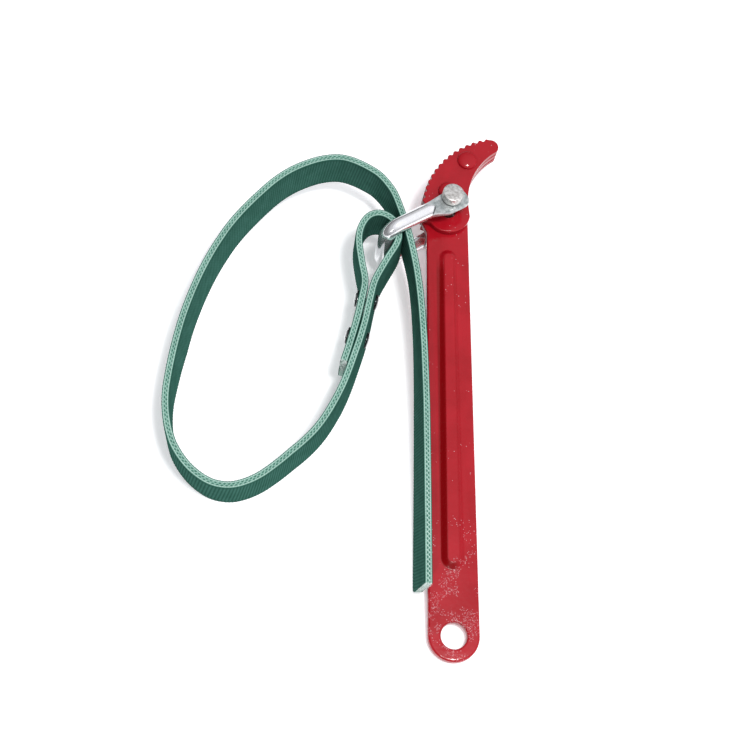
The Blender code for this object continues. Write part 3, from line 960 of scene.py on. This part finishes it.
def yarn_rings(point, heading, length, radius):
    """Rings along one loose yarn, which bends at each step and thins towards its end."""
    rings = []
    for step in range(YARN_STEPS + 1):
        bend = (random.uniform(-0.3, 0.3), random.uniform(-0.3, 0.3), random.uniform(-0.3, 0.2))
        heading = (heading + Vector(bend)).normalized()
        side = heading.orthogonal().normalized()
        other = heading.cross(side)
        size = radius * (1 - 0.5 * step / YARN_STEPS)
        ring = []
        for corner in range(YARN_SIDES):
            angle = 2 * math.pi * corner / YARN_SIDES
            ring.append(point + size * (math.cos(angle) * side + math.sin(angle) * other))
        rings.append(ring)
        point = point + heading * length / YARN_STEPS
    return rings


def make_fray(name, stations, index, direction, place, material):
    """Loose yarn ends that stand out of a cut end of the belt."""
    random.seed(name)
    centre, normal, _ = stations
    across = Vector((*normal[index], 0))
    along = Vector((normal[index][1], -normal[index][0], 0)) * direction
    start = Vector((*centre[index], 0))
    _, top, bottom = BELT_LEAN[index]
    body = bmesh.new()
    for _ in range(YARN_COUNT):
        u = random.uniform(-YARN_SPREAD, YARN_SPREAD)
        z = random.uniform(-0.1, 0.5) * BELT_WIDTH * 0.98
        shift = u + (top + bottom) / 2 + (top - bottom) * z / BELT_WIDTH
        root = start + across * shift + Vector((0, 0, z)) - along * YARN_SET_BACK
        sideways = across * random.uniform(-0.5, 0.5)
        heading = along + sideways + Vector((0, 0, random.uniform(-0.7, 0.5)))
        length = random.uniform(*YARN_LENGTHS)
        radius = random.uniform(*YARN_RADII)
        add_skin(body, yarn_rings(root, heading, length, radius))
    piece = new_piece(name, outward_mesh(body, name), place, material)
    piece.data.shade_smooth()
    return piece


def make_belt_rivet(name, centre, heading, place, cap, dark):
    """One rivet through the lap: a bright cap, a dark burr washer and the end formed over it."""
    turn = Matrix.Translation((*centre, 0)) @ Euler((0, math.pi / 2, heading)).to_matrix().to_4x4()
    cap_dome = domed_head(RIVET_CAP_RADIUS, RIVET_CAP_HEIGHT, RIVET_CAP_RIM)
    head = [(radius, RIVET_FACE + z) for radius, z in cap_dome]
    seat = RIVET_FACE + BURR_THICKNESS
    formed_dome = domed_head(FORMED_RADIUS, FORMED_HEIGHT, FORMED_RIM)
    formed = [(radius, -seat - z) for radius, z in reversed(formed_dome)]
    shank = [(RIVET_SHANK, RIVET_FACE), (RIVET_SHANK, -seat)]
    mesh = turned_mesh(name, [*head, *shank, *formed])
    rivet = new_piece(f"belt_rivet_cap_{name}", mesh, place @ turn, cap)
    keep_flats_flat(rivet)
    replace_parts(rivet, f"belt_rivet_{name}")
    burr_profile = [(0.0, -seat + BURR_DISH)]
    burr_profile += rounded((BURR_RADIUS - BURR_ROUND, -seat + BURR_ROUND), BURR_ROUND, -90, 0)
    burr_profile += [(BURR_RADIUS, -RIVET_FACE), (0.0, -RIVET_FACE)]
    burr = new_piece(f"belt_burr_{name}", turned_mesh("burr", burr_profile), place @ turn, dark)
    keep_flats_flat(burr)
    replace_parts(burr, f"belt_washer_{name}")
    return rivet, burr


# ---------------------------------------------------------------- stage

def make_camera():
    data = bpy.data.cameras.new("camera")
    data.lens = CAMERA_LENS
    data.sensor_width = SENSOR_WIDTH
    data.clip_start = NEAREST_SEEN
    camera = bpy.data.objects.new("camera", data)
    camera.location = CAMERA_PLACE
    camera.rotation_euler = [math.radians(angle) for angle in CAMERA_TURN]
    bpy.context.scene.collection.objects.link(camera)
    bpy.context.scene.camera = camera


def make_lamp(name, place, target, side, power):
    data = bpy.data.lights.new(name, "AREA")
    data.shape = "RECTANGLE"
    data.size = side
    data.size_y = side
    data.energy = power
    light = bpy.data.objects.new(name, data)
    light.location = place
    light.rotation_euler = (Vector(target) - Vector(place)).to_track_quat("-Z", "Y").to_euler()
    bpy.context.scene.collection.objects.link(light)


def make_floor():
    mesh = bpy.data.meshes.new("floor")
    size = FLOOR_HALF_SIZE
    corners = [(-size, -size, 0), (size, -size, 0), (size, size, 0), (-size, size, 0)]
    mesh.from_pydata(corners, [], [(0, 1, 2, 3)])
    floor = new_piece("floor", mesh, Matrix.Translation((0, 0, cad_box[0][2])), floor_white())


def make_sky():
    """A soft sky, brighter towards SKY_DIRECTION, with one narrow dim band halfway."""
    world = bpy.data.worlds.new("studio")
    world.use_nodes = True
    nodes = world.node_tree.nodes
    links = world.node_tree.links
    direction = nodes.new("ShaderNodeTexCoord")
    towards = nodes.new("ShaderNodeVectorMath")
    towards.operation = "DOT_PRODUCT"
    towards.inputs[1].default_value = SKY_DIRECTION
    glow = nodes.new("ShaderNodeFloatCurve")
    curve = glow.mapping.curves[0]
    curve.points[0].location = (0.0, SKY_LOWEST)
    curve.points[1].location = (1.0, 1.0)
    for place, level in SKY_LEVELS:
        curve.points.new(place, level).handle_type = "VECTOR"
    glow.mapping.update()
    links.new(direction.outputs["Generated"], towards.inputs[0])
    links.new(towards.outputs["Value"], glow.inputs["Value"])
    links.new(glow.outputs["Value"], nodes["Background"].inputs["Strength"])
    nodes["Background"].inputs["Color"].default_value = SKY_COLOUR
    bpy.context.scene.world = world


def main():
    make_camera()
    make_floor()
    for name, settings in LAMPS.items():
        make_lamp(name, *settings)
    make_sky()
    bpy.context.scene.view_settings.view_transform = "Standard"
    handle_place = Matrix.Translation(PIVOT) @ Matrix.Rotation(HANDLE_SLOPE, 4, "X")
    pin_place = Matrix.Translation(PIVOT)
    shackle_place = Matrix.Translation(PIVOT) @ Matrix.Rotation(SHACKLE_HEADING, 4, "Z")
    belt_place = Matrix.Translation(CROSSBAR) @ Euler(BELT_TILT).to_matrix().to_4x4()

    paint = red_paint()
    zinc = zinc_plate()
    head_zinc = pin_zinc()
    handle_pieces = [make_handle(handle_place, paint)]
    for side, z in (("front", CHEEK_Z), ("back", -CHEEK_Z)):
        cheek = make_cheek(f"cheek_{side}", z, handle_place, paint)
        handle_pieces.append(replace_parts(cheek, f"jaw_cheek_{side}"))
    for name, centre in JAW_RIVETS.items():
        rivet = make_jaw_rivet(f"{name}_head", centre, handle_place, paint)
        handle_pieces.append(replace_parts(rivet, name))
    pins = [make_pin(pin_place, head_zinc), make_washer(pin_place, zinc)]
    shackle = make_shackle(shackle_place, zinc)

    stations = belt_stations()
    rubber = belt_rubber()
    threads = frayed_thread()
    core = make_belt_core(stations, belt_place, belt_fabric())
    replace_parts(core, "belt")
    facings = [
        make_belt_facing("belt_facing_inner", 1, stations, belt_place, rubber),
        make_belt_facing("belt_facing_outer", -1, stations, belt_place, rubber),
    ]
    frays = [
        make_fray("fray_free_end", stations, 0, -1, belt_place, threads),
        make_fray("fray_lap_end", stations, -1, 1, belt_place, threads),
    ]
    cap = cap_steel()
    dark = dark_steel()
    rivets = []
    for name, (centre, heading) in BELT_RIVETS.items():
        rivets.extend(make_belt_rivet(name, centre, heading, belt_place, cap, dark))

    for piece in handle_pieces:
        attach(piece, "handle")
    for piece in pins:
        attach(piece, "handle")
    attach(shackle, "shackle")
    for piece in (core, *facings, *frays):
        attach(piece, "belt")
    for piece in rivets:
        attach(piece, "belt")


main()
